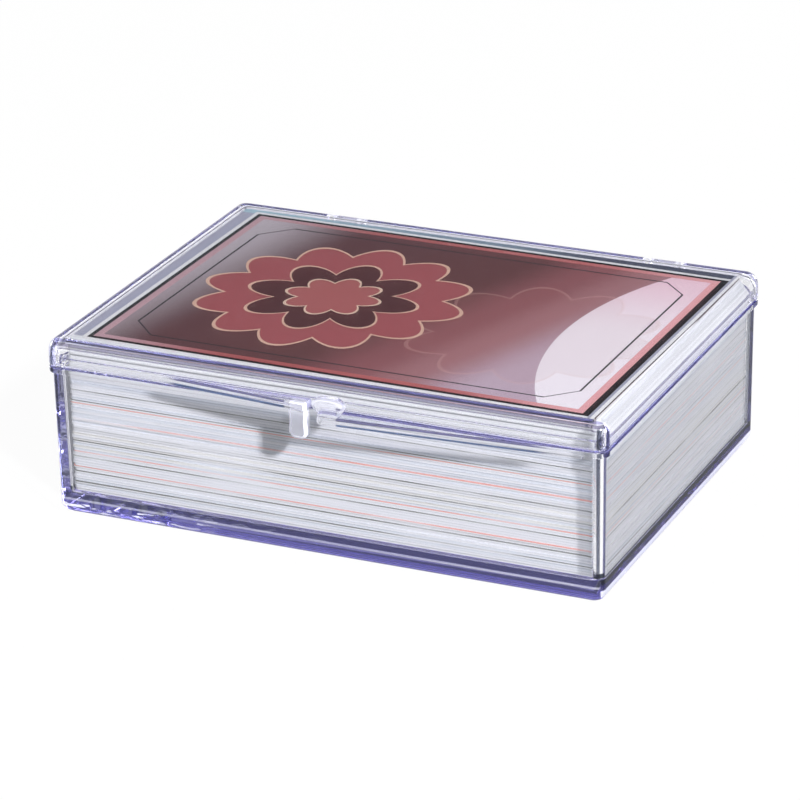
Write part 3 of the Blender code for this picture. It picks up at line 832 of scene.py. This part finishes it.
def painted_finger_highlight(f, at):
    """Painted highlight: white rims round the two fingers and a fainter white on their faces."""
    facing = f.step(f.do("ABSOLUTE", at.normal_y), *FINGER_FACE)
    front_rim = f.step(f.product(at.y, -1.0), FINGER_RIM_FROM, FINGER_RIM_SOFT)
    rim = f.product(front_rim, f.inverse(facing))
    under_lip = f.before(at.z, LID_BOTTOM, LINE_SOFT)
    on_lip = f.between(at.z, LID_BOTTOM, LID_BOTTOM + LIP_THICKNESS, LINE_SOFT)
    hanging = f.do("ADD", f.product(f.between(at.x, *LID_FINGER_SPAN, LINE_SOFT), under_lip),
                   f.product(f.between(at.x, *LID_CAP_SPAN, LINE_SOFT), on_lip))
    left_band = f.before(at.x, LID_FINGER_SPAN[0] + BAND_WIDTH, BAND_SOFT)
    low_band = f.before(at.z, FINGER_LOW, BAND_SOFT)
    lid_rim = f.do("MAXIMUM", rim, f.product(f.do("MAXIMUM", left_band, low_band), front_rim))
    hanging = f.product(hanging, f.do("MULTIPLY_ADD", lid_rim, *HANGING_HIGHLIGHT))
    standing = f.product(f.between(at.x, *TRAY_FINGER_SPAN, LINE_SOFT),
                         f.step(at.z, TRAY_FINGER_FROM, LINE_SOFT))
    standing = f.product(standing, f.do("MULTIPLY_ADD", rim, *STANDING_HIGHLIGHT))
    return f.product(at.ahead, f.do("MAXIMUM", hanging, standing))


def painted_foot_highlight(f, at):
    """Painted highlight: glints low on the front's left, a white haze low on the right end, and one along the
    foot's pale line.
    """
    glints = f.product(at.glints, at.front_face, GLINT_HIGHLIGHT)
    right_end = f.product(at.end_face, at.right, END_HIGHLIGHT)
    low = f.product(f.do("MAXIMUM", glints, right_end), f.between(at.z, *LOW_HIGHLIGHT_HEIGHTS, SHADE_EDGE))
    pale_line = f.between(at.up_foot, *PALE_LINE, PALE_LINE_SOFT)
    return f.do("ADD", low, f.product(pale_line, at.front_face, PALE_LINE_HIGHLIGHT))


def painted_edge_highlight(f, at):
    """Painted highlight: a white haze on the lid's left and rear edges."""
    left = f.step(f.product(at.x, -1.0), HALF_LENGTH - FAR_EDGE_WIDTH, FAR_EDGE_SOFT)
    rear = f.step(at.y, HALF_WIDTH - FAR_EDGE_WIDTH, FAR_EDGE_SOFT)
    return f.product(f.do("MAXIMUM", left, rear), f.step(at.z, *FAR_EDGE_HEIGHT), FAR_EDGE_HIGHLIGHT)


def highlight_shader(f):
    """The white shader of the painted highlights: light shows on it from both sides."""
    both = f.nodes.new("ShaderNodeAddShader")
    f.links.new(f.shader("ShaderNodeBsdfTranslucent", HIGHLIGHT_THROUGH), both.inputs[0])
    f.links.new(f.shader("ShaderNodeBsdfDiffuse", HIGHLIGHT_FRONT), both.inputs[1])
    return both.outputs[0]


def clear_plastic():
    """Clear plastic with a faint violet body, with painted shade and painted highlights by place. Lamp light
    passes straight through its walls, while the lips, fingers, corner posts and right end wall hold part of
    it back."""
    material, f, shader = new_material("clear polystyrene")
    shader.inputs["Transmission Weight"].default_value = 1.0
    shader.inputs["IOR"].default_value = PLASTIC_IOR
    shader.inputs["Roughness"].default_value = 0.0
    at = PlasticPlaces(f)
    colour = CLEAR_TINT
    # Painted shade and painted highlight bands, one set after another
    for add_painted_light in (painted_post_shade, painted_end_shade, painted_level_shade, painted_lip_lines, painted_lid_bands, painted_foot_bands):
        colour = add_painted_light(f, at, colour)
    f.links.new(colour, shader.inputs["Base Color"])
    # Shares of painted highlight on the fingers, the foot and the lid's far edges
    painted_highlight = f.do("ADD", f.do("ADD", painted_finger_highlight(f, at), painted_foot_highlight(f, at)), painted_edge_highlight(f, at))
    surface = f.mix_shaders(painted_highlight, shader.outputs[0], highlight_shader(f))
    let_through = f.shader("ShaderNodeBsdfTransparent", passed_light(f, at))
    paths = f.nodes.new("ShaderNodeLightPath").outputs
    for kind in ("Is Diffuse Ray", "Is Shadow Ray"):
        surface = f.mix_shaders(paths[kind], surface, let_through)
    absorb = f.nodes.new("ShaderNodeVolumeAbsorption")
    absorb.inputs["Color"].default_value = ABSORB_COLOUR
    absorb.inputs["Density"].default_value = ABSORB_DENSITY
    output = f.nodes["Material Output"]
    f.links.new(surface, output.inputs["Surface"])
    f.links.new(absorb.outputs[0], output.inputs["Volume"])
    return material


def card_board(name, colour, ink, low, high, strength):
    """White board whose cut edge shows one inked layer, between two shares of the card's thickness."""
    material, f, shader = new_material(name)
    fibre = f.noise(FIBRE_SCALES, FIBRE_DETAIL)
    tone = f.mix(f.product(fibre, FIBRE_SHARE), colour, tuple(FIBRE_TONE * part for part in colour))
    short_end = f.step(f.do("ABSOLUTE", f.coordinates("Normal")[0]), *END_FACE)
    layer = f.between(f.coordinates("Generated")[2], low, high, INK_SOFT)
    blotch = f.step(f.noise(BLOTCH_SCALES), *BLOTCH_STEP)
    shown = f.product(layer, blotch, strength, f.do("MULTIPLY_ADD", short_end, -END_INK_LOSS, 1.0))
    f.links.new(f.mix(shown, tone, ink), shader.inputs["Base Color"])
    shader.inputs["Roughness"].default_value = BOARD_ROUGHNESS
    shader.inputs["Specular IOR Level"].default_value = BOARD_SPECULAR
    return material


class PrintPlaces:
    """A point of the card's face in mm from the print's middle, and how far inside its sides it lies."""

    def __init__(self, f):
        low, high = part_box("top_card")
        x, y = f.coordinates("Object")[:2]
        from_x = f.do("DIVIDE", f.do("SUBTRACT", x, (low.x + high.x) / 2 + PRINT_PLACE[0]), MM)
        from_y = f.do("DIVIDE", f.do("SUBTRACT", y, (low.y + high.y) / 2 + PRINT_PLACE[1]), MM)
        cosine, sine = math.cos(PRINT_TURN), math.sin(PRINT_TURN)
        self.across = f.do("ADD", f.product(from_x, cosine), f.product(from_y, sine))
        self.along = f.do("SUBTRACT", f.product(from_y, cosine), f.product(from_x, sine))
        self.side_x = f.do("SUBTRACT", HALF_ACROSS, f.do("ABSOLUTE", self.across))
        self.side_y = f.do("SUBTRACT", HALF_ALONG, f.do("ABSOLUTE", self.along))
        self.inside = f.do("MINIMUM", self.side_x, self.side_y)
        right_side = f.do("SUBTRACT", f.do("SUBTRACT", HALF_ACROSS, self.across), RIGHT_MARGIN_EXTRA)
        self.margin = f.do("MINIMUM", self.inside, right_side)

    def slanted(self, f, slant):
        return f.do("SUBTRACT", self.across, f.product(self.along, slant))


def rosette(f, at, centre, size, petals, depth):
    """How far a point lies outside a flower outline, in mm."""
    dx, dy = f.do("SUBTRACT", at.across, centre[0]), f.do("SUBTRACT", at.along, centre[1])
    wave = f.do("ABSOLUTE", f.do("COSINE", f.product(f.do("ARCTAN2", dy, dx), petals / 2)))
    outline = f.do("ADD", size * (1 - depth), f.product(wave, size * depth))
    return f.do("SUBTRACT", f.away(dx, dy), outline)


def print_field(f, at):
    """A field that runs from dark to pale, with a painted reflection paling its left, and a pale round panel
    at the right.
    """
    colour = f.ramp(f.do("MULTIPLY_ADD", at.slanted(f, FIELD_SLANT), FIELD_RATE, FIELD_MIDDLE), FIELD)
    colour = f.mix(f.before(at.slanted(f, REFLECTION_SLANT), *REFLECTION_STEP), colour, PAINTED_REFLECTION)
    panel = f.away(f.do("SUBTRACT", at.across, PANEL_X), at.along)
    pale = f.ramp(f.do("DIVIDE", f.do("ADD", at.along, HALF_ALONG), 2 * HALF_ALONG), PANEL)
    return f.mix(f.before(panel, *PANEL_EDGE), colour, pale)


def print_flowers(f, at, colour):
    """A rosette of three rings and its faint twin."""
    twin = rosette(f, at, *TWIN)
    fill = f.product(f.before(twin, 0.0, TWIN_FILL_SOFT), TWIN_FILL_SHARE)
    colour = f.mix(fill, colour, TWIN_FILL)
    colour = f.mix(f.product(f.between(twin, *TWIN_LINE_BAND), TWIN_LINE_SHARE), colour, TWIN_LINE)
    for size, petals, depth, fill, line_edge, line in FLOWER_RINGS:
        ring = rosette(f, at, FLOWER_PLACE, size, petals, depth)
        colour = f.mix(f.before(ring, 0.0, CRISP), colour, fill)
        colour = f.mix(f.between(ring, FLOWER_LINE_FROM, line_edge, CRISP), colour, line)
    return colour


def print_frame(f, at, colour):
    """A thin line with cut corners, a red margin and a black edge."""
    cut = f.do("SUBTRACT", f.do("ADD", at.side_x, at.side_y), FRAME_CUT)
    colour = f.mix(f.between(f.do("MINIMUM", at.margin, cut), *FRAME_LINE), colour, FRAME_INK)
    tint = f.ramp(f.do("ADD", f.do("DIVIDE", at.across, 2 * HALF_ACROSS), 0.5), MARGIN)
    colour = f.mix(f.before(at.margin, *MARGIN_EDGE), colour, tint)
    return f.mix(f.before(at.margin, *BLACK_EDGE), colour, BLACK_INK)


def print_border(f, at, colour):
    """The card's unprinted border, different along each side: a lilac painted shadow of the lid's rim at the
    sides and painted shade at the rear, dark towards the right.
    """
    colour = f.mix(f.before(at.inside, 0.0, PAPER_SOFT), colour, PAPER)
    rear = f.ramp(f.do("MULTIPLY_ADD", at.across, 0.5 / HALF_ACROSS, 0.5), REAR_PAINTED_SHADE)
    outer = f.mix(f.before(at.along, -HALF_ALONG, OUTER_SOFT), RIM_SHADOW_LILAC, FRONT_PAPER)
    outer = f.mix(f.step(at.along, HALF_ALONG, OUTER_SOFT), outer, rear)
    colour = f.mix(f.before(at.inside, *OUTER_EDGE), colour, outer)
    right = f.ramp(f.do("SUBTRACT", at.across, HALF_ACROSS), RIGHT_SHADE_AND_PAPER)
    colour = f.mix(f.step(at.across, HALF_ACROSS, RIGHT_SOFT), colour, right)
    return f.mix(f.between(at.across, *RIGHT_LINE), colour, RIGHT_INK)


def card_print():
    """A made-up card face: a petal rosette with a faint twin on a framed field."""
    material, f, shader = new_material("printed card")
    at = PrintPlaces(f)
    colour = print_field(f, at)
    for add_print in (print_flowers, print_frame, print_border):
        colour = add_print(f, at, colour)
    f.links.new(colour, shader.inputs["Base Color"])
    shader.inputs["Roughness"].default_value = PRINT_ROUGHNESS
    shader.inputs["Specular IOR Level"].default_value = PRINT_SPECULAR
    return material


def dress(item, material):
    item.data.materials.clear()
    item.data.materials.append(material)


# Stage

def add_camera():
    data = bpy.data.cameras.new("camera")
    data.lens = CAMERA_LENS
    data.sensor_width = SENSOR_WIDTH
    data.clip_start = CLIP_START
    camera = link("camera", data)
    camera.matrix_world = (Matrix.Translation(CAMERA_PLACE)
                           @ Matrix.Rotation(CAMERA_AZIMUTH, 4, "Z")
                           @ Matrix.Rotation(math.pi / 2 - CAMERA_ELEVATION, 4, "X")
                           @ Matrix.Rotation(CAMERA_ROLL, 4, "Z"))
    bpy.context.scene.camera = camera


def add_floor():
    """A pale floor that shows nearly white to the camera and is darker to bounced and mirrored light."""
    bpy.ops.mesh.primitive_plane_add(size=FLOOR_SIZE, location=(0.0, 0.0, FLOOR_HEIGHT))
    floor = bpy.context.object
    floor.name = "floor"
    material, f, shader = new_material("floor")
    shader.inputs["Roughness"].default_value = 1.0
    shader.inputs["Specular IOR Level"].default_value = 0.0
    paths = f.nodes.new("ShaderNodeLightPath").outputs
    bounced = f.do("MAXIMUM", paths["Is Diffuse Ray"], paths["Is Reflection Ray"])
    f.links.new(f.mix(bounced, FLOOR_COLOUR, FLOOR_BOUNCE), shader.inputs["Base Color"])
    whiten = 0.0
    for kind, share in FLOOR_WHITE.items():
        whiten = f.do("MULTIPLY_ADD", paths[kind], share, whiten)
    glow = f.nodes.new("ShaderNodeEmission")
    mixed = f.mix_shaders(whiten, shader.outputs[0], glow.outputs[0])
    f.links.new(mixed, f.nodes["Material Output"].inputs["Surface"])
    floor.data.materials.append(material)


def add_world():
    """White to the camera; a soft dome to the cards; to the clear plastic a pale room with a dark screen that
    stands where the lid would mirror it. The background's Ray Depth counts one more than the bounces."""
    world = bpy.data.worlds.new("studio")
    bpy.context.scene.world = world
    world.use_nodes = True
    f = Formula(world.node_tree)
    paths = f.nodes.new("ShaderNodeLightPath").outputs
    x, y, z = f.coordinates("Generated")
    mirrored = Vector((-math.sin(CAMERA_AZIMUTH), math.cos(CAMERA_AZIMUTH), math.tan(CAMERA_ELEVATION)))
    mirrored.normalize()
    level = f.do("ADD", f.product(f.do("ABSOLUTE", x), -mirrored.x), f.product(y, mirrored.y))
    towards = f.do("ADD", level, f.product(z, mirrored.z))
    depth = paths["Ray Depth"]
    screen = f.mix(f.step(depth, *DEEP_FROM), SCREEN, DEEP_SCREEN)
    room = f.mix(f.step(towards, *SCREEN_CONE), f.ramp(z, ROOM), screen)
    straight = f.do("ADD", *[f.between(depth, *span) for span in STRAIGHT_DEPTHS])
    room = f.mix(straight, room, STRAIGHT)
    dome = f.mix(paths["Is Diffuse Ray"], room, DOME)
    f.links.new(f.mix(paths["Is Camera Ray"], dome, WHITE), f.nodes["Background"].inputs["Color"])


def add_lamp(name, azimuth, elevation, distance, size, power):
    """A square lamp aimed at the middle of the box's foot."""
    data = bpy.data.lights.new(name, "AREA")
    data.shape = "SQUARE"
    data.size = size
    data.energy = power
    lamp = link(name, data)
    lamp.matrix_world = (Matrix.Rotation(math.radians(azimuth), 4, "Z")
                         @ Matrix.Rotation(math.pi / 2 - math.radians(elevation), 4, "X")
                         @ Matrix.Translation((0.0, 0.0, distance)))


# Build

CLEAR = clear_plastic()
SHELLS = [build_tray(), build_lid()]
for piece, body, node in zip(SHELLS, ("base", "lid"), ("base_tray", "lid")):
    dress(piece, CLEAR)
    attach(piece, body)
    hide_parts(node)

BOARDS = {name: card_board(name, *kind) for name, kind in BOARD_KINDS.items()}
DRAW = random.Random(DRAW_SEED)
for name in sorted(NODES):
    if name.startswith("card_"):
        number = int(name.removeprefix("card_"))
        kind = DRAW.choices(list(COMMON_KINDS), list(COMMON_KINDS.values()))[0]
        # Cards behind the lid's skirt take the board darkened as painted shade
        kind = "plain board" if number >= SKIRT_CARDS else kind
        kind = "pink inked board" if number in PINK_CARDS else kind
        kind = "grey inked board" if number in GREY_CARDS else kind
        dress(NODES[name], BOARDS[kind])
dress(NODES["top_card"], card_print())

add_camera()
add_floor()
add_world()
for name, lamp in LAMPS.items():
    add_lamp(name, *lamp)

scene = bpy.context.scene
scene.view_settings.view_transform = "Standard"
scene.cycles.max_bounces = MANY_BOUNCES
scene.cycles.glossy_bounces = MANY_BOUNCES
scene.cycles.transmission_bounces = TRANSMISSION_BOUNCES
